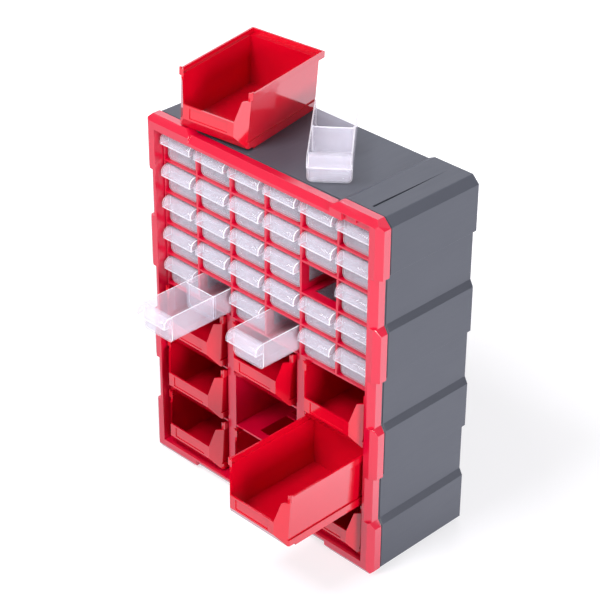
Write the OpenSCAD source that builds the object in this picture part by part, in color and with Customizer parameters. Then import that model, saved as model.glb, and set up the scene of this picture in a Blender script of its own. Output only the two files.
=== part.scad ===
// Parts bin cabinet. A moulded housing with a front frame holds a sleeve of
// shelves, dividers and posts. Thirty small clear drawers fill the upper half and
// nine open-fronted bins the lower half. Millimetres. The origin is the middle of
// the underside, the front is -Y and up is +Z. Rows count down, columns to the right.

/* [Small drawers] */
// Width of a drawer
drawer_w = 50; // [44:1:60]
// Height of a drawer
drawer_h = 36; // [30:1:44]
// Wall of a drawer
drawer_wall = 1.4; // [1:0.1:2]
// Outer radius of a drawer's two bottom edges
drawer_corner_r = 6.5; // [3:0.5:8]
// How far the hooded pull stands out in front of a drawer
pull_out = 12; // [10:0.5:16]
// Height of the hooded pull
pull_h = 13; // [11:0.5:20]
// Radius of the pull's top front edge
pull_r = 9; // [4:0.5:9.5]
// Distance of each label rib from the middle of a drawer's front
label_rib_x = 15; // [10:0.5:20]
// Width of a label rib at its foot
label_rib_w = 2.6; // [2.2:0.1:4]
// Width of a label rib's flat top
label_rib_top_w = 0.8; // [0.4:0.1:1.6]
// How far a label rib stands out of a drawer's front
label_rib_out = 0.5; // [0.3:0.1:0.8]
// Height of a label rib's lower end above a drawer's underside
label_rib_z = 6; // [5:0.5:10]
// Thickness of a divider insert
insert_t = 1.2; // [0.8:0.1:2]
// Height of a divider insert
insert_h = 34; // [20:1:34]
// Length of the flanges that hold a divider insert upright
insert_flange = 4.5; // [3:0.5:8]
// Distance of an insert from the drawer's front
insert_y = 66; // [30:1:110]

/* [Bins] */
// Height of a bin
bin_h = 72; // [60:1:84]
// Wall of a bin
bin_wall = 2.2; // [1.6:0.1:3]
// Height of the band round a bin's rim
bin_rim_h = 8; // [6:0.5:12]
// How far the rim band stands out of the side walls
bin_rim_out = 2.5; // [1.5:0.1:4]
// How far the rim runs past the back wall
bin_rim_back = 8; // [5:0.5:12]
// Height of the step inside the rim above the band's lower edge
bin_rim_step = 2; // [1.5:0.1:3]
// Height of the stop at the front end of each side rim
bin_stop_h = 2; // [1:0.1:3]
// Length of the stop at the front end of each side rim
bin_stop_l = 2; // [1:0.1:4]
// How much narrower each side wall is at its foot
bin_draft = 1.8; // [0.5:0.1:3]
// Height of the plinth round a bin's foot
bin_plinth_h = 10.5; // [8:0.5:14]
// How far the plinth stands out of the side walls
bin_plinth_out = 1.3; // [0.8:0.1:2]
// Height of the groove above the plinth
bin_groove_h = 2; // [1:0.1:3]
// Depth of the groove above the plinth
bin_groove_d = 0.6; // [0.3:0.1:1]
// Length and width of the slanted front corners, seen from above
bin_corner = 13; // [8:0.5:18]
// Height at which the slanted underside of the nose begins
bin_nose_z = 18.5; // [12:0.5:24]
// Depth of the slanted underside of the nose
bin_nose_d = 13; // [8:0.5:18]
// Height of the low front wall
bin_lip_z = 36.5; // [30:0.5:48]
// Height of the slanted corner panels
bin_panel_z = 62; // [54:0.5:62]
// How far each side of the opening leans out between lip and panel top
bin_scoop_lean = 6; // [3:0.5:9]
// Width of the label pocket in the front wall
bin_label_w = 53; // [40:1:62]
// Height of the label pocket
bin_label_h = 13.5; // [8:0.5:14]
// Depth of the label pocket
bin_label_d = 1; // [0.5:0.1:1.2]
// Height of the two runners under a bin
bin_runner_h = 2.5; // [1.5:0.1:4]
// Width of a runner
bin_runner_w = 4; // [3:0.5:8]
// Distance of the runners from the front
bin_runner_y = 22; // [21:1:40]

/* [Lattice] */
// Thickness of the shelves, the sleeve's floor and its top
board_t = 2.5; // [2:0.1:3.5]
// Thickness of the dividers between small drawers
divider_t = 3; // [2:0.1:4]
// Width of the posts between bins
post_w = 13.75; // [10:0.25:18]
// Wall of a post
post_wall = 2; // [1.5:0.1:3]
// Side walls of the sleeve
case_wall = 1.6; // [1.2:0.1:3]
// Length of the windows in shelves and dividers, front to back
window_l = 46; // [30:1:47]
// Width of a window in a small shelf
window_w = 36; // [24:1:44]
// Width of a window in a bin shelf
bin_window_w = 46; // [30:1:47]
// Solid strip at the front of the shelves and dividers
front_strip = 12.5; // [8:0.5:20]
// Solid bar between two windows
window_bar = 8; // [4:0.5:12]
// Rail above and below a divider's windows
divider_rail = 7; // [4:0.5:10]
// Width of the thick tab under a bin shelf's front edge
tab_w = 20; // [10:1:40]
// Depth of the tab, front to back
tab_d = 8; // [4:0.5:14]
// Thickness of the tab
tab_t = 1.5; // [0.8:0.1:1.8]

/* [Front frame] */
// Overall depth of the cabinet
cabinet_d = 160; // [140:1:200]
// Width of the frame beside the opening
frame_side_w = 17; // [15:0.5:26]
// Height of the frame below the opening
frame_bottom_h = 16.65; // [14:0.05:26]
// Height of the frame above the opening
frame_top_h = 17.8; // [16:0.1:28]
// Depth of the frame
frame_d = 16; // [14:0.5:24]
// Depth of the frame's sloping face
frame_slope_d = 5.8; // [3:0.1:8]
// Width of the frame's sloping face
frame_slope_w = 8; // [4:0.5:9]
// Wall left round the hollows in the frame's back
frame_wall = 2.5; // [1.8:0.1:3]
// Height of the notch over the last column
notch_h = 9.2; // [5:0.1:9.5]
// Width of the notch over the last column
notch_w = 41.4; // [30:0.1:50]
// Depth of the notch
notch_d = 4; // [3:0.5:12]
// Width of the pin that hangs in the notch
notch_pin_w = 1.5; // [1:0.1:3]
// Length of the pin that hangs in the notch
notch_pin_h = 4.4; // [2:0.1:5]

/* [Outline] */
// Distance from one raised band of the side to the next
band_pitch = 132; // [110:1:150]
// Height of a raised band
band_h = 61; // [40:1:80]
// Distance from the cabinet's top to the lower edge of the top band
band_drop = 71.5; // [60:0.5:90]
// Height of the slope above a raised band
band_slope = 8.5; // [4:0.5:14]
// How far the raised bands stand out of the frame
frame_step = 5.6; // [3:0.1:7]
// How far the raised bands stand out of the housing
shell_step = 4.5; // [3:0.1:7]
// Length of the raised ends of the top and bottom edges
end_l = 67.7; // [40:0.1:90]
// Length of the slope beside a raised end
end_slope = 9.1; // [4:0.1:14]
// Slanted upper corners
corner_top = 10.5; // [5:0.5:16]
// Slanted lower corners
corner_low = 7.5; // [4:0.5:12]

/* [Housing] */
// Wall of the housing
shell_wall = 2.5; // [2:0.1:4]
// How far the housing lies inside the frame's outline
shell_inset = 1.5; // [0.5:0.1:3]
// Width of the dark line between frame and housing
joint_w = 3; // [0.5:0.1:4]
// Depth of the dark line between frame and housing
joint_d = 1.2; // [0.5:0.1:1.5]
// Thickness of the housing's inner ribs
rib_t = 2; // [1.5:0.1:3]
// Number of inner ribs on each side wall
side_ribs = 3; // [1:1:3]
// Length of the groove in the top
groove_l = 122; // [60:1:130]
// Width of the groove's front end
groove_w = 2.5; // [1.5:0.1:4]
// Depth of the groove
groove_d = 1.6; // [0.4:0.1:1.8]
// Distance of the groove from the cabinet's side
groove_side = 35.8; // [30:0.1:50]
// Distance of the groove's front end behind the frame
groove_front = 10; // [5:1:30]

/* [Places] */
// How far the drawer in row 5, column 2 is pulled out
pulled_drawer_a = 95; // [0:1:110]
// How far the drawer in row 5, column 4 is pulled out
pulled_drawer_b = 59; // [0:1:110]
// How far the bin in row 2, column 3 is pulled out
pulled_bin = 118.5; // [0:0.5:125]
// Place of the loose drawer's front, to the right of the middle
loose_drawer_x = 78; // [70:0.5:90]
// Place of the loose drawer's front, behind the cabinet's front
loose_drawer_y = 36.5; // [34:0.5:42]
// Turn of the loose drawer
loose_drawer_turn = 41.1; // [36:0.1:48]
// Place of the loose bin's front, to the left of the middle
loose_bin_x = 84.2; // [80:0.1:92]
// Place of the loose bin's front, behind the cabinet's front
loose_bin_y = 4.3; // [4:0.1:10]
// Turn of the loose bin
loose_bin_turn = 10.7; // [4:0.1:12]

/* [Clearances] */
// Gap under a drawer or bin, so that it slides freely
run_gap = 0.3; // [0.2:0.05:0.5]
// Gap on each side of a small drawer
drawer_side_gap = 2.2; // [1.5:0.1:4]
// Gap above a small drawer
drawer_top_gap = 3.35; // [2:0.05:6]
// Gap behind a small drawer
drawer_rear_gap = 5; // [2:0.5:10]
// How far a small drawer's front lies behind the lattice's front
drawer_setback = 4; // [2:0.5:8]
// Gap on each side of a bin
bin_side_gap = 0.8; // [0.5:0.05:2]
// Gap above a bin's rim
bin_top_gap = 1.95; // [1.9:0.05:4]
// Gap behind a bin
bin_rear_gap = 6.5; // [4:0.5:12]
// How far a bin's nose stands out of the lattice's front
bin_proud = 18.5; // [14:0.5:24]
// How far the lattice's front lies behind the frame's front
lattice_setback = 13.5; // [12:0.5:13.5]
// Gap between the sleeve and the frame's opening
case_side_gap = 0.7; // [0.4:0.1:2]
// How far the sleeve's floor lies below the edge of the opening
case_floor_lip = 0.1; // [0.05:0.05:0.25]
// How far the sleeve's top hangs below the edge of the opening
case_top_lip = 2.15; // [1:0.05:2.4]
// Gap between the sleeve and its seat in the frame
seat_gap = 0.3; // [0.2:0.05:0.5]
// Gap on each side where shelves and uprights cross
lap_gap = 0.1; // [0.05:0.05:0.2]
// Gap between a divider insert and its drawer
insert_gap = 0.1; // [0.05:0.05:0.3]

/* [Hidden] */
$fn = 48;
over = 1; // how far a cut runs past the face that it opens
drawer_rows = 5;
drawer_cols = 6;
bin_rows = 3;
bin_cols = 3;

// Across the cabinet
cell_w = drawer_w + 2 * drawer_side_gap;
drawer_pitch = cell_w + divider_t;
inner_w = drawer_cols * drawer_pitch - divider_t;
bay_w = (inner_w - (bin_cols - 1) * post_w) / bin_cols;
bin_pitch = bay_w + post_w;
case_w = inner_w + 2 * case_wall;
opening_w = case_w + 2 * case_side_gap;
cabinet_w = opening_w + 2 * frame_side_w;

// Up the cabinet
drawer_cell_h = run_gap + drawer_h + drawer_top_gap;
bin_cell_h = run_gap + bin_h + bin_top_gap;
floor_z = frame_bottom_h - case_floor_lip;
mid_z = floor_z + bin_rows * (bin_cell_h + board_t);
case_top_z = mid_z + drawer_rows * (drawer_cell_h + board_t) - board_t;
opening_top_z = case_top_z + case_top_lip;
cabinet_h = opening_top_z + frame_top_h;

// From front to back
front_y = -cabinet_d / 2;
back_y = cabinet_d / 2;
crease_y = front_y + frame_slope_d;
lattice_y = front_y + lattice_setback;
frame_back_y = front_y + frame_d;
rear_y = back_y - shell_wall;
lap_y = (lattice_y + rear_y) / 2;
drawer_y = lattice_y + drawer_setback;
drawer_l = rear_y - drawer_rear_gap - drawer_y;
bin_y = lattice_y - bin_proud;
bin_l = rear_y - bin_rear_gap - bin_y;
bin_body_l = bin_l - bin_rim_back;

// Half widths of a bin
bin_rim_x = bay_w / 2 - bin_side_gap;
bin_top_x = bin_rim_x - bin_rim_out;
bin_foot_x = bin_top_x - bin_draft;
bin_plinth_x = bin_foot_x + bin_plinth_out;
bin_front_x = bin_plinth_x - bin_corner;
bin_rim_z = bin_h - bin_rim_h;
bin_floor_z = bin_runner_h + bin_wall;

// Top of the housing, on which the loose drawer and the loose bin stand
raised_z = cabinet_h - shell_inset;
recess_z = raised_z - shell_step;
bin_tilt = asin(shell_step / (2 * bin_plinth_x - bin_runner_w));

red = [0.93, 0.2, 0.28];
deep_red = [0.82, 0.1, 0.18];
grey = [0.46, 0.47, 0.49];
clear = [0.88, 0.88, 0.95, 0.6];

function drawer_name(r, c) = str("drawer_r", r, "c", c);
function bin_name(r, c) = str("bin_r", r, "c", c);
function drawer_x(c) = (c - (drawer_cols + 1) / 2) * drawer_pitch;
function divider_x(i) = (i - drawer_cols / 2) * drawer_pitch;
function drawer_z(r) = mid_z + (drawer_rows - r) * (drawer_cell_h + board_t);
function bin_x(c) = (c - (bin_cols + 1) / 2) * bin_pitch;
function post_x(i) = (i - bin_cols / 2) * bin_pitch;
function bin_z(r) = floor_z + (bin_rows - r) * (bin_cell_h + board_t);

// The drawer and the bin that stand loose on top, and how far each of the others is pulled out
function is_loose_drawer(r, c) = r == 3 && c == 5;
function is_loose_bin(r, c) = r == 2 && c == 2;
function drawer_pull(r, c) = r != 5 ? 0 : c == 2 ? pulled_drawer_a : c == 4 ? pulled_drawer_b : 0;
function bin_pull(r, c) = r == 2 && c == 3 ? pulled_bin : 0;

// A profile drawn in X and Z, made solid from y0 to y1
module along_y(y0, y1) {
    translate([0, y1, 0]) rotate([90, 0, 0]) linear_extrude(y1 - y0) children();
}

// A profile drawn in Y and Z, made solid from x0 to x1
module along_x(x0, x1) {
    translate([x0, 0, 0]) rotate([90, 0, 90]) linear_extrude(x1 - x0) children();
}

// A box from its lowest to its highest corner
module block(low, high) {
    translate(low) cube(high - low);
}

function mirrored(points) = [for (i = [len(points) - 1 : -1 : 0]) [-points[i].x, points[i].y]];

// ---- Outline of the cabinet, seen from the front ----

function band_z(k) = cabinet_h - band_drop - k * band_pitch;

// The bands from the lowest up. One that would start next to a lower corner takes the corner in.
last_band = 5;
band_reach = corner_low + band_slope;
band_list = [for (k = [last_band : -1 : 0]) if (band_z(k) + band_h > band_reach) k];
function band_foot(k) = band_z(k) < band_reach ? 0 : band_z(k);

// How far the ends of a slope of the given run and rise move when its outline moves in by one
function slope_shift(run, rise) = tan(atan2(rise, run) / 2);

// Right half of the outline, from the underside up, moved in by inset. The bands are
// raised by step. With feet, the middle of the underside is raised as well.
function right_half(inset, step, base_z, feet) =
    let (
        low = base_z + inset,
        side = cabinet_w / 2 - inset,
        hollow = side - step,
        cut = 2 - sqrt(2),
        c_top = corner_top - inset * cut,
        c_low = corner_low - inset * cut,
        first = band_foot(band_list[0]) == 0 ? side : hollow,
        rise = band_h - inset * slope_shift(band_slope, step),
        end_x = cabinet_w / 2 - end_l + inset * slope_shift(end_slope, step),
        top = cabinet_h - inset
    )
    concat(
        feet ? [[end_x - end_slope, low + step], [end_x, low]] : [],
        [[first - c_low, low], [first, low + c_low]],
        [for (k = band_list) each concat(
            band_foot(k) == 0 ? [] : [[hollow, band_z(k) + inset], [side, band_z(k) + inset]],
            k == 0 ? [] : [[side, band_z(k) + rise], [hollow, band_z(k) + rise + band_slope]]
        )],
        [[side, top - c_top], [side - c_top, top], [end_x, top], [end_x - end_slope, top - step]]
    );

function outline(inset, step, base_z, feet) =
    let (half = right_half(inset, step, base_z, feet)) concat(half, mirrored(half));

// ---- Housing ----

module shell_solid(inset, base_z, y0, y1) {
    along_y(y0, y1) polygon(outline(inset, shell_step, base_z, false));
}

// Ribs that carry the sleeve on its floor, its top and both sides
module housing_ribs() {
    low = shell_wall / 2;
    wall_x = cabinet_w / 2 - shell_inset - shell_step - shell_wall / 2;
    for (i = [1 : bin_cols - 1]) {
        x0 = post_x(i) - rib_t / 2;
        x1 = post_x(i) + rib_t / 2;
        block([x0, frame_back_y, low], [x1, rear_y, floor_z - board_t]);
        block([x0, frame_back_y, case_top_z + board_t], [x1, rear_y, recess_z - shell_wall / 2]);
    }
    for (k = [0 : side_ribs - 1], s = [0, 1]) {
        z = band_z(k) - (band_pitch - band_h) / 2;
        mirror([s, 0, 0])
            block([case_w / 2, frame_back_y, z - rib_t / 2], [wall_x, rear_y, z + rib_t / 2]);
    }
}

module housing() {
    color(grey) {
        difference() {
            union() {
                shell_solid(shell_inset, -shell_inset, frame_back_y + joint_w, back_y);
                shell_solid(shell_inset + joint_d, -shell_inset, frame_back_y, frame_back_y + joint_w);
            }
            shell_solid(shell_inset + shell_wall, -shell_inset, frame_back_y - over, rear_y);
            translate([cabinet_w / 2 - groove_side, frame_back_y + groove_front, raised_z - groove_d])
                linear_extrude(groove_d + over)
                    polygon([[-groove_w / 2, 0], [groove_w / 2, 0], [0, groove_l]]);
        }
        housing_ribs();
    }
}

// ---- Front frame ----

module frame_opening() {
    half = opening_w / 2;
    block([-half, front_y - over, frame_bottom_h], [half, frame_back_y + over, opening_top_z]);
}

// Notch over the last column, with its hanging pin
module frame_notch() {
    right = opening_w / 2;
    pin_x = right - notch_w / 2;
    top = opening_top_z + notch_h;
    difference() {
        block([right - notch_w, front_y - over, opening_top_z - over], [right, front_y + notch_d, top]);
        block([pin_x - notch_pin_w / 2, front_y, top - notch_pin_h],
              [pin_x + notch_pin_w / 2, front_y + notch_d, top + over]);
    }
}

// Seat for the sleeve's front end, and hollows that keep the walls even
module frame_back_cuts() {
    seat_x = case_w / 2 + seat_gap;
    block([-seat_x, lattice_y - seat_gap, floor_z - board_t - seat_gap],
          [seat_x, frame_back_y + over, case_top_z + board_t + seat_gap]);
    deep_y = crease_y + frame_wall / 2;
    in_x = opening_w / 2 + frame_wall;
    out_x = cabinet_w / 2 - frame_step - frame_wall;
    for (s = [0, 1])
        mirror([s, 0, 0])
            block([in_x, deep_y, frame_bottom_h + frame_wall],
                  [out_x, frame_back_y + over, opening_top_z - frame_wall]);
    block([-opening_w / 2, deep_y, opening_top_z + frame_wall],
          [opening_w / 2 - notch_w - frame_wall, frame_back_y + over,
           cabinet_h - frame_step - frame_wall]);
}

// Block as wide as the frame, whose front slopes back along its two sides
module side_slopes(half, z0, z1) {
    translate([0, 0, z0])
        linear_extrude(z1 - z0)
            polygon([
                [-half, frame_back_y], [half, frame_back_y], [half, crease_y],
                [half - frame_slope_w, front_y], [frame_slope_w - half, front_y], [-half, crease_y]
            ]);
}

// Block as high as the frame, whose front slopes back along its top and bottom
module edge_slopes(x0, x1, z0, z1) {
    along_x(x0, x1)
        polygon([
            [frame_back_y, z0], [crease_y, z0], [front_y, z0 + frame_slope_w],
            [front_y, z1 - frame_slope_w], [crease_y, z1], [frame_back_y, z1]
        ]);
}

module frame_body() {
    side = cabinet_w / 2;
    end_x = side - end_l - end_slope;
    intersection() {
        along_y(front_y, frame_back_y) polygon(outline(0, frame_step, 0, true));
        union() {
            side_slopes(side - frame_step, 0, cabinet_h);
            for (k = band_list)
                side_slopes(side, band_foot(k), k == 0 ? cabinet_h : band_z(k) + band_h + band_slope);
        }
        union() {
            edge_slopes(-side, side, frame_step, cabinet_h - frame_step);
            for (s = [0, 1]) mirror([s, 0, 0]) edge_slopes(end_x, side, 0, cabinet_h);
        }
    }
}

module front_frame() {
    color(red)
        difference() {
            frame_body();
            frame_opening();
            frame_notch();
            frame_back_cuts();
        }
}

// ---- Sleeve, shelves, dividers and posts ----

module inner_case() {
    low = floor_z - board_t;
    color(deep_red)
        difference() {
            block([-case_w / 2, lattice_y, low], [case_w / 2, rear_y, case_top_z + board_t]);
            block([-inner_w / 2, lattice_y - over, floor_z], [inner_w / 2, rear_y + over, case_top_z]);
        }
}

// A board between the sleeve's side walls, with its underside at z
module board(z) {
    block([-inner_w / 2, lattice_y, z], [inner_w / 2, rear_y, z + board_t]);
}

// Two windows in a row, the first behind the front strip
function window_ys() = [for (i = [0, 1]) lattice_y + front_strip + i * (window_l + window_bar)];

module mid_shelf() {
    color(deep_red) board(mid_z - board_t);
}

// Small shelves are whole in front and slotted behind, where the dividers pass
module small_shelf(r) {
    z = drawer_z(r) - board_t;
    slot = divider_t / 2 + lap_gap;
    color(deep_red)
        difference() {
            board(z);
            for (i = [1 : drawer_cols - 1])
                block([divider_x(i) - slot, lap_y, z - over],
                      [divider_x(i) + slot, rear_y + over, z + board_t + over]);
            for (c = [1 : drawer_cols], y = window_ys())
                block([drawer_x(c) - window_w / 2, y, z - over],
                      [drawer_x(c) + window_w / 2, y + window_l, z + board_t + over]);
        }
}

// Bin shelves are notched in front, where the posts pass, and whole behind
module bin_shelf(r) {
    z = bin_z(r) - board_t;
    slot = post_w / 2 + lap_gap;
    color(deep_red) {
        difference() {
            board(z);
            for (i = [1 : bin_cols - 1])
                block([post_x(i) - slot, lattice_y - over, z - over],
                      [post_x(i) + slot, lap_y, z + board_t + over]);
            for (c = [1 : bin_cols], y = window_ys())
                block([bin_x(c) - bin_window_w / 2, y, z - over],
                      [bin_x(c) + bin_window_w / 2, y + window_l, z + board_t + over]);
        }
        for (c = [1 : bin_cols])
            block([bin_x(c) - tab_w / 2, lattice_y, z - tab_t],
                  [bin_x(c) + tab_w / 2, lattice_y + tab_d, z + board_t / 2]);
    }
}

// Dividers are slotted in front, where the small shelves pass
module divider(i) {
    color(deep_red)
        translate([divider_x(i), 0, 0])
            difference() {
                block([-divider_t / 2, lattice_y, mid_z], [divider_t / 2, rear_y, case_top_z]);
                for (r = [1 : drawer_rows - 1])
                    block([-divider_t, lattice_y - over, drawer_z(r) - board_t - lap_gap],
                          [divider_t, lap_y, drawer_z(r) + lap_gap]);
                for (r = [1 : drawer_rows], y = window_ys())
                    block([-divider_t, y, drawer_z(r) + divider_rail],
                          [divider_t, y + window_l, drawer_z(r) + drawer_cell_h - divider_rail]);
            }
}

// Posts are channels, open behind and slotted there for the bin shelves
module bin_post(i) {
    color(deep_red)
        translate([post_x(i), 0, 0])
            difference() {
                block([-post_w / 2, lattice_y, floor_z], [post_w / 2, rear_y, mid_z - board_t]);
                block([post_wall - post_w / 2, lattice_y + post_wall, floor_z - over],
                      [post_w / 2 - post_wall, rear_y + over, mid_z]);
                for (r = [1 : bin_rows - 1])
                    block([-post_w, lap_y, bin_z(r) - board_t - lap_gap],
                          [post_w, rear_y + over, bin_z(r) + lap_gap]);
            }
}

// ---- Small drawer: middle of its front's lower edge at the origin ----

// Section across a drawer, moved in by inset and drawn up to the given height
module drawer_section(inset, top) {
    half = drawer_w / 2;
    arc_x = half - drawer_corner_r;
    translate([inset - half, drawer_corner_r]) square([drawer_w - 2 * inset, top - drawer_corner_r]);
    translate([-arc_x, inset]) square([2 * arc_x, top - inset]);
    for (x = [-arc_x, arc_x]) translate([x, drawer_corner_r]) circle(drawer_corner_r - inset);
}

// Side view of the hooded pull, moved in by inset and drawn down to the given height
module pull_section(inset, low) {
    front = inset - pull_out;
    arc = [pull_r - pull_out, drawer_h - pull_r];
    intersection() {
        translate([front, low]) square([-front, drawer_h - inset - low]);
        union() {
            translate([front, low]) square([-front, arc.y - low]);
            translate([arc.x, low]) square([-arc.x, drawer_h - inset - low]);
            translate(arc) circle(pull_r - inset);
        }
    }
}

module drawer_shape() {
    half = drawer_w / 2;
    pull_z = drawer_h - pull_h;
    difference() {
        along_y(0, drawer_l) drawer_section(0, drawer_h);
        along_y(drawer_wall, drawer_l - drawer_wall) drawer_section(drawer_wall, drawer_h + over);
    }
    difference() {
        along_x(-half, half) pull_section(0, pull_z);
        along_x(drawer_wall - half, half - drawer_wall) pull_section(drawer_wall, pull_z - over);
    }
    for (x = [-label_rib_x, label_rib_x])
        translate([x, 0, label_rib_z])
            linear_extrude(drawer_h - drawer_wall / 2 - label_rib_z) label_rib_plan();
}

// Plan of a label rib, which slopes up from the drawer's front on both sides
module label_rib_plan() {
    half = [[label_rib_top_w / 2, -label_rib_out], [label_rib_w / 2, 0], [label_rib_w / 2, drawer_wall / 2]];
    polygon(concat(half, mirrored(half)));
}

// Insert that splits a drawer in two, on the drawer's own floor
module insert_shape() {
    wall = drawer_wall + insert_gap;
    difference() {
        intersection() {
            along_y(insert_y, insert_y + insert_flange) drawer_section(wall, drawer_h);
            along_y(0, drawer_l) translate([-drawer_w / 2, drawer_wall]) square([drawer_w, insert_h]);
        }
        along_y(insert_y + insert_t, insert_y + insert_flange + over)
            drawer_section(wall + insert_t, drawer_h);
    }
}

module place_drawer(r, c) {
    if (is_loose_drawer(r, c))
        translate([loose_drawer_x, front_y + loose_drawer_y, recess_z + run_gap])
            rotate([0, 0, loose_drawer_turn]) children();
    else
        translate([drawer_x(c), drawer_y - drawer_pull(r, c), drawer_z(r) + run_gap]) children();
}

module drawer(r, c) {
    color(clear) place_drawer(r, c) drawer_shape();
}

module drawer_insert(r, c) {
    color(clear) place_drawer(r, c) insert_shape();
}

// ---- Bin: middle of its front plane's foot at the origin ----

// Section across a bin without its rim
module bin_section_outer() {
    half = [
        [bin_plinth_x, 0], [bin_plinth_x, bin_plinth_h],
        [bin_foot_x - bin_groove_d, bin_plinth_h],
        [bin_foot_x - bin_groove_d, bin_plinth_h + bin_groove_h],
        [bin_foot_x, bin_plinth_h + bin_groove_h],
        [bin_top_x, bin_rim_z], [bin_top_x, bin_h]
    ];
    polygon(concat(half, mirrored(half)));
}

// Inside of a bin, wider above the step in its rim
module bin_section_inner() {
    step_z = bin_rim_z + bin_rim_step;
    half = [
        [bin_foot_x - bin_wall, bin_floor_z], [bin_top_x - bin_wall, step_z],
        [bin_rim_x - bin_wall, step_z], [bin_rim_x - bin_wall, bin_h + bin_stop_h + over]
    ];
    polygon(concat(half, mirrored(half)));
}

// Plan of a bin with its slanted front corners, moved in by inset
module bin_plan(inset) {
    reach = bin_corner + bin_rim_out + bin_plinth_out + bin_wall;
    half = [
        [bin_front_x - inset * (sqrt(2) - 1), inset],
        [bin_front_x - inset * sqrt(2) + reach, reach],
        [bin_front_x - inset * sqrt(2) + reach, bin_l + over]
    ];
    polygon(concat(half, mirrored(half)));
}

// Side view of a bin with its slanted nose, moved in by inset, on a floor at the given height
module bin_side(inset, floor_h) {
    steep = bin_nose_z / bin_nose_d;
    line = bin_nose_z + inset * sqrt(1 + steep * steep);
    top = bin_h + bin_stop_h + over;
    polygon([
        [inset, line - steep * inset], [(line - floor_h) / steep, floor_h],
        [bin_l, floor_h], [bin_l, top], [inset, top]
    ]);
}

// What the front opening takes away, in X and Z
module bin_scoop() {
    wide = bin_rim_x + over;
    half = [
        [bin_front_x, bin_lip_z], [bin_front_x + bin_scoop_lean, bin_panel_z],
        [wide, bin_panel_z], [wide, bin_h + bin_stop_h + over]
    ];
    polygon(concat(half, mirrored(half)));
}

module bin_shape() {
    rim_in = bin_rim_x - bin_wall;
    step_z = bin_rim_z + bin_rim_step;
    difference() {
        union() {
            intersection() {
                along_y(0, bin_body_l) bin_section_outer();
                linear_extrude(bin_h) bin_plan(0);
                along_x(-bin_rim_x, bin_rim_x) bin_side(0, 0);
            }
            block([-bin_rim_x, bin_corner, bin_rim_z], [bin_rim_x, bin_l, bin_h]);
            for (s = [0, 1])
                mirror([s, 0, 0])
                    block([rim_in, bin_corner, bin_h - bin_rim_step],
                          [bin_rim_x, bin_corner + bin_stop_l, bin_h + bin_stop_h]);
        }
        intersection() {
            along_y(bin_wall, bin_body_l - bin_wall) bin_section_inner();
            linear_extrude(bin_h + bin_stop_h + over) bin_plan(bin_wall);
            along_x(-bin_rim_x, bin_rim_x) bin_side(bin_wall, bin_floor_z);
        }
        block([-rim_in, bin_body_l - 2 * bin_wall, step_z], [rim_in, bin_l - bin_wall, bin_h + over]);
        along_y(-over, bin_corner) bin_scoop();
        block([-bin_label_w / 2, -over, bin_lip_z - bin_wall - bin_label_h],
              [bin_label_w / 2, bin_label_d, bin_lip_z - bin_wall]);
        bin_underside();
    }
}

// Hollow under a bin that leaves its two runners
module bin_underside() {
    gap_x = bin_plinth_x - bin_runner_w;
    block([-bin_plinth_x - over, -over, -over], [bin_plinth_x + over, bin_runner_y, bin_runner_h]);
    block([-gap_x, -over, -over], [gap_x, bin_l + over, bin_runner_h]);
}

// The loose bin leans with its left runner on the raised end of the cabinet's top
module place_bin(r, c) {
    if (is_loose_bin(r, c))
        translate([-loose_bin_x, front_y + loose_bin_y, recess_z + run_gap + bin_plinth_x * sin(bin_tilt)])
            rotate([0, 0, loose_bin_turn]) rotate([0, bin_tilt, 0]) children();
    else
        translate([bin_x(c), bin_y - bin_pull(r, c), bin_z(r) + run_gap]) children();
}

module bin(r, c) {
    color(red) place_bin(r, c) bin_shape();
}

// ---- Nodes ----

housing();
front_frame();
inner_case();
mid_shelf();
for (r = [1 : drawer_rows - 1])
    small_shelf(r);
for (r = [1 : bin_rows - 1])
    bin_shelf(r);
for (i = [1 : drawer_cols - 1])
    divider(i);
for (i = [1 : bin_cols - 1])
    bin_post(i);
for (r = [1 : drawer_rows], c = [1 : drawer_cols])
    drawer(r, c);
drawer_insert(5, 2);  // insert_r5c2
drawer_insert(3, 5);  // insert_r3c5
for (r = [1 : bin_rows], c = [1 : bin_cols])
    bin(r, c);
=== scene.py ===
import math

import bmesh
import bpy
from mathutils import Matrix, Vector

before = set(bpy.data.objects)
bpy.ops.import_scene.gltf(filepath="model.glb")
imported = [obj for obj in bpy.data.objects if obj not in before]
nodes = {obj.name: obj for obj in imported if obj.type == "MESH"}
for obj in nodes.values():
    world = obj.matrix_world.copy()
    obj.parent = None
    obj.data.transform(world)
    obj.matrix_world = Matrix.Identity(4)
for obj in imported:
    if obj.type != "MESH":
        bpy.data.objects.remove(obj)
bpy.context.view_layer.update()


# ---- Camera ----
# The photograph looks down on the front right corner from well above and a good
# two metres away, through a long lens, level to within half a degree.

MM = 0.001
CAMERA_PLACE = Vector((1434.5, -1446.1, 1504.7)) * MM
CAMERA_AIM = Vector((-39.0, 29.3, 237.0)) * MM
CAMERA_ROLL = math.radians(0.38)
LENS = 120.6

camera_data = bpy.data.cameras.new("camera")
camera_data.lens = LENS
camera_data.clip_end = 100.0
camera = bpy.data.objects.new("camera", camera_data)
look = (CAMERA_AIM - CAMERA_PLACE).to_track_quat("-Z", "Y").to_matrix().to_4x4()
camera.matrix_world = Matrix.Translation(CAMERA_PLACE) @ look @ Matrix.Rotation(CAMERA_ROLL, 4, "Z")
bpy.context.scene.collection.objects.link(camera)
bpy.context.scene.camera = camera
bpy.context.scene.view_settings.view_transform = "Standard"


# ---- Surround ----
# The cabinet stands in a white studio. A bright scrim hangs high behind its left
# shoulder, so the glossy plastic mirrors white there and grey to the right.

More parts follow.
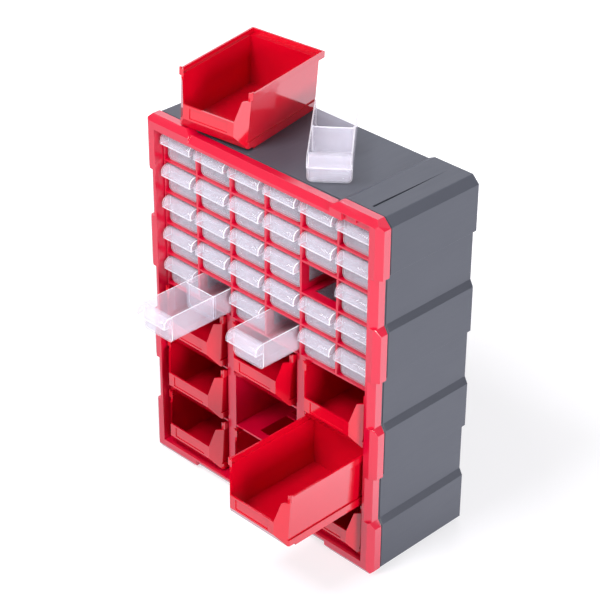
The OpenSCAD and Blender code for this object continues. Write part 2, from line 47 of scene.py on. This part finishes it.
def add_node(tree, kind, inputs=None, **settings):
    """Adds a node. An input is a value, or an output socket of another node to link."""
    node = tree.nodes.new(kind)
    for name, value in settings.items():
        setattr(node, name, value)
    for name, value in (inputs or {}).items():
        if isinstance(value, bpy.types.NodeSocket):
            tree.links.new(value, node.inputs[name])
        else:
            node.inputs[name].default_value = value
    return node


WHITE = (1.0, 1.0, 1.0, 1.0)
COOL_WHITE = (0.88, 0.9, 1.0, 1.0)
# Light of the studio's walls, and of the scrim's middle as the plastic mirrors it
SKY_LIGHT = 0.3
SCRIM_LIGHT = 1.7
# Way to the scrim, and how far along it a direction lies at the scrim's soft edge
SCRIM_TOWARDS = (-0.5, 0.5, 1.0)
SCRIM_OUTSIDE = 0.55
SCRIM_INSIDE = 1.05

world = bpy.data.worlds.new("surround")
world.use_nodes = True
tree = world.node_tree
tree.nodes.clear()
path = add_node(tree, "ShaderNodeLightPath")
seen = add_node(tree, "ShaderNodeMath",
                {0: path.outputs["Is Camera Ray"], 1: path.outputs["Is Transmission Ray"]},
                operation="MAXIMUM")
direction = add_node(tree, "ShaderNodeTexCoord")
nearness = add_node(tree, "ShaderNodeVectorMath", {0: direction.outputs["Generated"], 1: SCRIM_TOWARDS},
                    operation="DOT_PRODUCT")
scrim = add_node(tree, "ShaderNodeMapRange", {
    "Value": nearness.outputs["Value"],
    "From Min": SCRIM_OUTSIDE,
    "From Max": SCRIM_INSIDE,
    "To Min": SKY_LIGHT,
    "To Max": SCRIM_LIGHT,
})
mirrored = add_node(tree, "ShaderNodeMix",
                    {0: path.outputs["Is Glossy Ray"], 2: SKY_LIGHT, 3: scrim.outputs["Result"]},
                    data_type="FLOAT")
strength = add_node(tree, "ShaderNodeMix", {0: seen.outputs[0], 2: mirrored.outputs[0], 3: 1.0},
                    data_type="FLOAT")
tint = add_node(tree, "ShaderNodeMix", {0: path.outputs["Is Glossy Ray"], 6: WHITE, 7: COOL_WHITE},
                data_type="RGBA")
background = add_node(tree, "ShaderNodeBackground",
                      {"Color": tint.outputs[2], "Strength": strength.outputs[0]})
add_node(tree, "ShaderNodeOutputWorld", {"Surface": background.outputs[0]})
bpy.context.scene.world = world


# ---- Floor ----
# A plain pale sweep, matt like paper, that fades to white and keeps the soft
# shadow under the cabinet.

def linear(hex_colour, alpha=1.0):
    """An sRGB hex colour as linear RGBA."""
    channels = [int(hex_colour[i:i + 2], 16) / 255 for i in (1, 3, 5)]
    return tuple(c / 12.92 if c <= 0.04045 else ((c + 0.055) / 1.055) ** 2.4 for c in channels) + (alpha,)


def new_material(name):
    """An empty node material and its tree."""
    material = bpy.data.materials.new(name)
    material.use_nodes = True
    material.node_tree.nodes.clear()
    return material, material.node_tree


FLOOR_HALF = 6.0
# Glow that lifts the paper to white for the camera, in the shadow and beyond it,
# how far from the cabinet's middle it rises, and how little falls on the cabinet
GLOW_NEAR = 0.62
GLOW_FAR = 0.95
GLOW_RISES = (0.3, 0.9)
GLOW_ON_CABINET = 0.1
# Glow of the paper as the plastic mirrors it: dim in front, bright to the back
# right, with a soft edge along this direction
SWEEP_TOWARDS = (1.0, 0.8, 0.0)
SWEEP_EDGE = (0.12, 0.35)
SWEEP_DIM = 0.8
SWEEP_BRIGHT = 1.75

floor_mesh = bpy.data.meshes.new("floor")
bm = bmesh.new()
bmesh.ops.create_grid(bm, x_segments=1, y_segments=1, size=FLOOR_HALF)
bm.to_mesh(floor_mesh)
bm.free()
floor = bpy.data.objects.new("floor", floor_mesh)
bpy.context.scene.collection.objects.link(floor)

# White paper without any gloss, which the shadow greys only a little
sweep_paper, tree = new_material("matt_white_sweep")
path = add_node(tree, "ShaderNodeLightPath")
paper = add_node(tree, "ShaderNodeMix",
                 {0: path.outputs["Is Glossy Ray"], 6: linear("#B0AEB4"), 7: linear("#505054")},
                 data_type="RGBA")
matt = add_node(tree, "ShaderNodeBsdfDiffuse", {"Color": paper.outputs[2]})
seen = add_node(tree, "ShaderNodeMath",
                {0: path.outputs["Is Camera Ray"], 1: path.outputs["Is Transmission Ray"]},
                operation="MAXIMUM")
place = add_node(tree, "ShaderNodeTexCoord")
distance = add_node(tree, "ShaderNodeVectorMath", {0: place.outputs["Object"]}, operation="LENGTH")
fade = add_node(tree, "ShaderNodeMapRange", {
    "Value": distance.outputs["Value"],
    "From Min": GLOW_RISES[0],
    "From Max": GLOW_RISES[1],
    "To Min": GLOW_NEAR,
    "To Max": GLOW_FAR,
})
lift = add_node(tree, "ShaderNodeMapRange",
                {"Value": seen.outputs[0], "To Min": GLOW_ON_CABINET, "To Max": fade.outputs["Result"]})
behind = add_node(tree, "ShaderNodeVectorMath", {0: place.outputs["Object"], 1: SWEEP_TOWARDS},
                  operation="DOT_PRODUCT")
sweep = add_node(tree, "ShaderNodeMapRange", {
    "Value": behind.outputs["Value"],
    "From Min": SWEEP_EDGE[0],
    "From Max": SWEEP_EDGE[1],
    "To Min": SWEEP_DIM,
    "To Max": SWEEP_BRIGHT,
})
strength = add_node(tree, "ShaderNodeMix",
                    {0: path.outputs["Is Glossy Ray"], 2: lift.outputs["Result"], 3: sweep.outputs["Result"]},
                    data_type="FLOAT")
tint = add_node(tree, "ShaderNodeMix", {0: path.outputs["Is Glossy Ray"], 6: WHITE, 7: COOL_WHITE},
                data_type="RGBA")
glow = add_node(tree, "ShaderNodeEmission", {"Color": tint.outputs[2], "Strength": strength.outputs[0]})
lit_paper = add_node(tree, "ShaderNodeAddShader", {0: matt.outputs[0], 1: glow.outputs[0]})
add_node(tree, "ShaderNodeOutputMaterial", {"Surface": lit_paper.outputs[0]})
floor_mesh.materials.append(sweep_paper)


# ---- Lamps ----
# A key far to the right that hardly reaches into the bins, a broad fill in front
# for the red face, a lamp high up that whitens the drawers' hoods, and a weak one
# behind for the cabinet's back.

CABINET_MIDDLE = Vector((0.0, 0.0, 0.25))


def add_lamp(name, place, power, size, in_mirrors=True):
    """A square lamp that shines from place on the cabinet's middle."""
    data = bpy.data.lights.new(name, "AREA")
    data.energy = power
    data.size = size
    lamp = bpy.data.objects.new(name, data)
    place = Vector(place)
    turn = (CABINET_MIDDLE - place).to_track_quat("-Z", "Y").to_matrix().to_4x4()
    lamp.matrix_world = Matrix.Translation(place) @ turn
    lamp.visible_glossy = in_mirrors
    bpy.context.scene.collection.objects.link(lamp)


add_lamp("key_right", (2.6, -0.7, 0.8), power=66.0, size=0.9)
add_lamp("fill_front", (-0.6, -2.5, 1.05), power=29.0, size=1.2)
add_lamp("fill_above", (-0.2, -1.3, 2.3), power=46.0, size=0.8, in_mirrors=False)
add_lamp("fill_back", (-1.6, 2.0, 1.1), power=20.0, size=1.0, in_mirrors=False)


# ---- Housing ----
# One grey shell, injection moulded in ABS with a fine satin grain. Its bands and
# raised ends stiffen it, and it snaps onto the back of the front frame.

def round_edges(obj, width, segments=2, clamp=True, sharp=30):
    """Welds a CAD node's loose triangles and rounds its sharp edges."""
    weld = obj.modifiers.new("weld", "WELD")
    weld.merge_threshold = 0.01 * MM
    bevel = obj.modifiers.new("bevel", "BEVEL")
    bevel.width = width
    bevel.segments = segments
    bevel.limit_method = "ANGLE"
    bevel.angle_limit = math.radians(sharp)
    bevel.use_clamp_overlap = clamp
    bevel.harden_normals = False


def dress(obj, *materials):
    """Puts these materials on an object, the first on all of it."""
    obj.data.materials.clear()
    for material in materials:
        obj.data.materials.append(material)


HOUSING_EDGE = 0.6 * MM
HOUSING_PATCHES = 70 * MM
# The real grain is finer than a pixel, so it is drawn this coarse
GRAIN_WIDTH = 1.2 * MM
GRAIN_DEPTH = 0.02 * MM
# Scuffs run from front to back
SCUFF_WIDTH = 4 * MM
SCUFF_LENGTH = 40 * MM

# ABS with a fine grain that breaks up every reflection into a dull sheen
grey_abs, tree = new_material("grey_abs_satin")
spot = add_node(tree, "ShaderNodeTexCoord").outputs["Object"]
patches = add_node(tree, "ShaderNodeTexNoise", {"Vector": spot, "Scale": 1 / HOUSING_PATCHES, "Detail": 3.0})
grain = add_node(tree, "ShaderNodeTexNoise", {"Vector": spot, "Scale": 1 / GRAIN_WIDTH, "Detail": 2.0})
along = add_node(tree, "ShaderNodeMapping",
                 {"Vector": spot, "Scale": (1 / SCUFF_WIDTH, 1 / SCUFF_LENGTH, 1 / SCUFF_WIDTH)})
scuffs = add_node(tree, "ShaderNodeTexNoise", {"Vector": along.outputs[0], "Scale": 1.0, "Detail": 4.0})
shade = add_node(tree, "ShaderNodeMix",
                 {0: patches.outputs["Fac"], 6: linear("#42444D"), 7: linear("#484A53")}, data_type="RGBA")
dullness = add_node(tree, "ShaderNodeMapRange",
                    {"Value": scuffs.outputs["Fac"], "To Min": 0.34, "To Max": 0.48})
bumps = add_node(tree, "ShaderNodeBump",
                 {"Height": grain.outputs["Fac"], "Distance": GRAIN_DEPTH, "Strength": 1.0})
surface = add_node(tree, "ShaderNodeBsdfPrincipled", {
    "Base Color": shade.outputs[2],
    "Roughness": dullness.outputs["Result"],
    "IOR": 1.52,
    "Specular IOR Level": 0.4,
    "Normal": bumps.outputs[0],
})
add_node(tree, "ShaderNodeOutputMaterial", {"Surface": surface.outputs[0]})
dress(nodes["housing"], grey_abs)
round_edges(nodes["housing"], HOUSING_EDGE)


# ---- Front frame ----
# Red ring that closes the housing's front, moulded in polished polystyrene. Its
# face slopes in to the opening and its outline repeats the housing's bands.

FRAME_EDGE = 0.35 * MM
FRAME_PATCHES = 80 * MM
# Shallow waves that cooling leaves in the gloss
WAVE_LENGTH = 9 * MM
WAVE_DEPTH = 0.03 * MM
# Polishing hairs of the mould, drawn coarser than real so that they show
FRAME_HAIRS = 0.8 * MM

# Polystyrene, deep red with a hard gloss that wavers slightly
red_styrene, tree = new_material("red_polystyrene_gloss")
spot = add_node(tree, "ShaderNodeTexCoord").outputs["Object"]
patches = add_node(tree, "ShaderNodeTexNoise", {"Vector": spot, "Scale": 1 / FRAME_PATCHES, "Detail": 3.0})
waves = add_node(tree, "ShaderNodeTexNoise", {"Vector": spot, "Scale": 1 / WAVE_LENGTH, "Detail": 0.0})
hairs = add_node(tree, "ShaderNodeTexNoise", {"Vector": spot, "Scale": 1 / FRAME_HAIRS, "Detail": 5.0})
shade = add_node(tree, "ShaderNodeMix",
                 {0: patches.outputs["Fac"], 6: linear("#C4022C"), 7: linear("#CC0432")}, data_type="RGBA")
dullness = add_node(tree, "ShaderNodeMapRange",
                    {"Value": hairs.outputs["Fac"], "To Min": 0.14, "To Max": 0.26})
bumps = add_node(tree, "ShaderNodeBump",
                 {"Height": waves.outputs["Fac"], "Distance": WAVE_DEPTH, "Strength": 1.0})
surface = add_node(tree, "ShaderNodeBsdfPrincipled", {
    "Base Color": shade.outputs[2],
    "Roughness": dullness.outputs["Result"],
    "IOR": 1.59,
    "Specular IOR Level": 1.0,
    "Normal": bumps.outputs[0],
})
add_node(tree, "ShaderNodeOutputMaterial", {"Surface": surface.outputs[0]})
dress(nodes["front_frame"], red_styrene)
round_edges(nodes["front_frame"], FRAME_EDGE)


# ---- Sleeve, shelves, dividers and posts ----
# Thin red boards of the same polystyrene, which cross in slots and stand in a
# sleeve that fills the frame's opening.

BOARD_EDGE = 0.25 * MM

lattice = ["inner_case", "mid_shelf"]
lattice += [name for name in nodes if name.startswith(("small_shelf", "bin_shelf", "divider", "bin_post"))]
for name in lattice:
    dress(nodes[name], red_styrene)
    round_edges(nodes[name], BOARD_EDGE, segments=1)


# ---- Small drawers ----
# Thirty drawers of clear, slightly milky polypropylene, each moulded in one piece
# with a hooded pull across the whole front. Two hold a clear insert that parts them.

DRAWER_EDGE = 0.5 * MM
# Degrees. Keeps the label ribs' gentle slopes out of the rounded edges and their painted highlight
DRAWER_SHARP = 50
# Polishing hairs as on the frame, and patches of tint in the edges' painted highlight
DRAWER_HAIRS = 1.5 * MM
EDGE_HIGHLIGHT_PATCHES = 6 * MM

# Polypropylene that lets most light through and turns milky where a wall is seen
# at a slant
clear_plastic, tree = new_material("clear_polypropylene")
spot = add_node(tree, "ShaderNodeTexCoord").outputs["Object"]
hairs = add_node(tree, "ShaderNodeTexNoise", {"Vector": spot, "Scale": 1 / DRAWER_HAIRS, "Detail": 4.0})
dullness = add_node(tree, "ShaderNodeMapRange",
                    {"Value": hairs.outputs["Fac"], "To Min": 0.06, "To Max": 0.14})
slant = add_node(tree, "ShaderNodeLayerWeight", {"Blend": 0.5})
milkiness = add_node(tree, "ShaderNodeMapRange",
                     {"Value": slant.outputs["Facing"], "To Min": 0.17, "To Max": 0.52})
surface = add_node(tree, "ShaderNodeBsdfPrincipled", {
    "Base Color": linear("#F4F0FF"),
    "Roughness": dullness.outputs["Result"],
    "IOR": 1.49,
    "Alpha": milkiness.outputs["Result"],
    "Transmission Weight": 0.3,
    "Specular IOR Level": 0.8,
})
add_node(tree, "ShaderNodeOutputMaterial", {"Surface": surface.outputs[0]})

# The rounded edges of the same plastic, painted whiter and more opaque than the walls: a painted highlight
# for the light that gathers in them
clear_edge_highlight, tree = new_material("clear_polypropylene_painted_edge_highlight")
spot = add_node(tree, "ShaderNodeTexCoord").outputs["Object"]
highlight_patches = add_node(tree, "ShaderNodeTexNoise", {"Vector": spot, "Scale": 1 / EDGE_HIGHLIGHT_PATCHES, "Detail": 2.0})
glint = add_node(tree, "ShaderNodeMix",
                 {0: highlight_patches.outputs["Fac"], 6: linear("#FFFFFF"), 7: linear("#F2ECFA")}, data_type="RGBA")
surface = add_node(tree, "ShaderNodeBsdfPrincipled", {
    "Base Color": glint.outputs[2],
    "Roughness": 0.2,
    "IOR": 1.49,
    "Alpha": 0.8,
})
add_node(tree, "ShaderNodeOutputMaterial", {"Surface": surface.outputs[0]})
for name in nodes:
    if name.startswith(("drawer", "insert")):
        dress(nodes[name], clear_plastic, clear_edge_highlight)
        round_edges(nodes[name], DRAWER_EDGE, clamp=False, sharp=DRAWER_SHARP)
        # The bevels take the whiter, more opaque edge material, a painted highlight
        nodes[name].modifiers["bevel"].material = 1


# ---- Bins ----
# Nine open-fronted bins, each moulded in one piece in glossy red polypropylene,
# with a flange along the rim and a low front wall to reach in over.

BIN_EDGE = 0.35 * MM
BIN_PATCHES = 60 * MM
BIN_HAIRS = 1.0 * MM

# Polypropylene with a polished skin that mirrors the surround
red_polypropylene, tree = new_material("red_polypropylene_polished")
spot = add_node(tree, "ShaderNodeTexCoord").outputs["Object"]
patches = add_node(tree, "ShaderNodeTexNoise", {"Vector": spot, "Scale": 1 / BIN_PATCHES, "Detail": 3.0})
hairs = add_node(tree, "ShaderNodeTexNoise", {"Vector": spot, "Scale": 1 / BIN_HAIRS, "Detail": 5.0})
shade = add_node(tree, "ShaderNodeMix",
                 {0: patches.outputs["Fac"], 6: linear("#C8021E"), 7: linear("#D00424")}, data_type="RGBA")
dullness = add_node(tree, "ShaderNodeMapRange",
                    {"Value": hairs.outputs["Fac"], "To Min": 0.06, "To Max": 0.14})
surface = add_node(tree, "ShaderNodeBsdfPrincipled", {
    "Base Color": shade.outputs[2],
    "Roughness": dullness.outputs["Result"],
    "IOR": 1.59,
    "Specular IOR Level": 1.0,
})
add_node(tree, "ShaderNodeOutputMaterial", {"Surface": surface.outputs[0]})
for name in nodes:
    if name.startswith("bin_r"):
        dress(nodes[name], red_polypropylene)
        round_edges(nodes[name], BIN_EDGE)
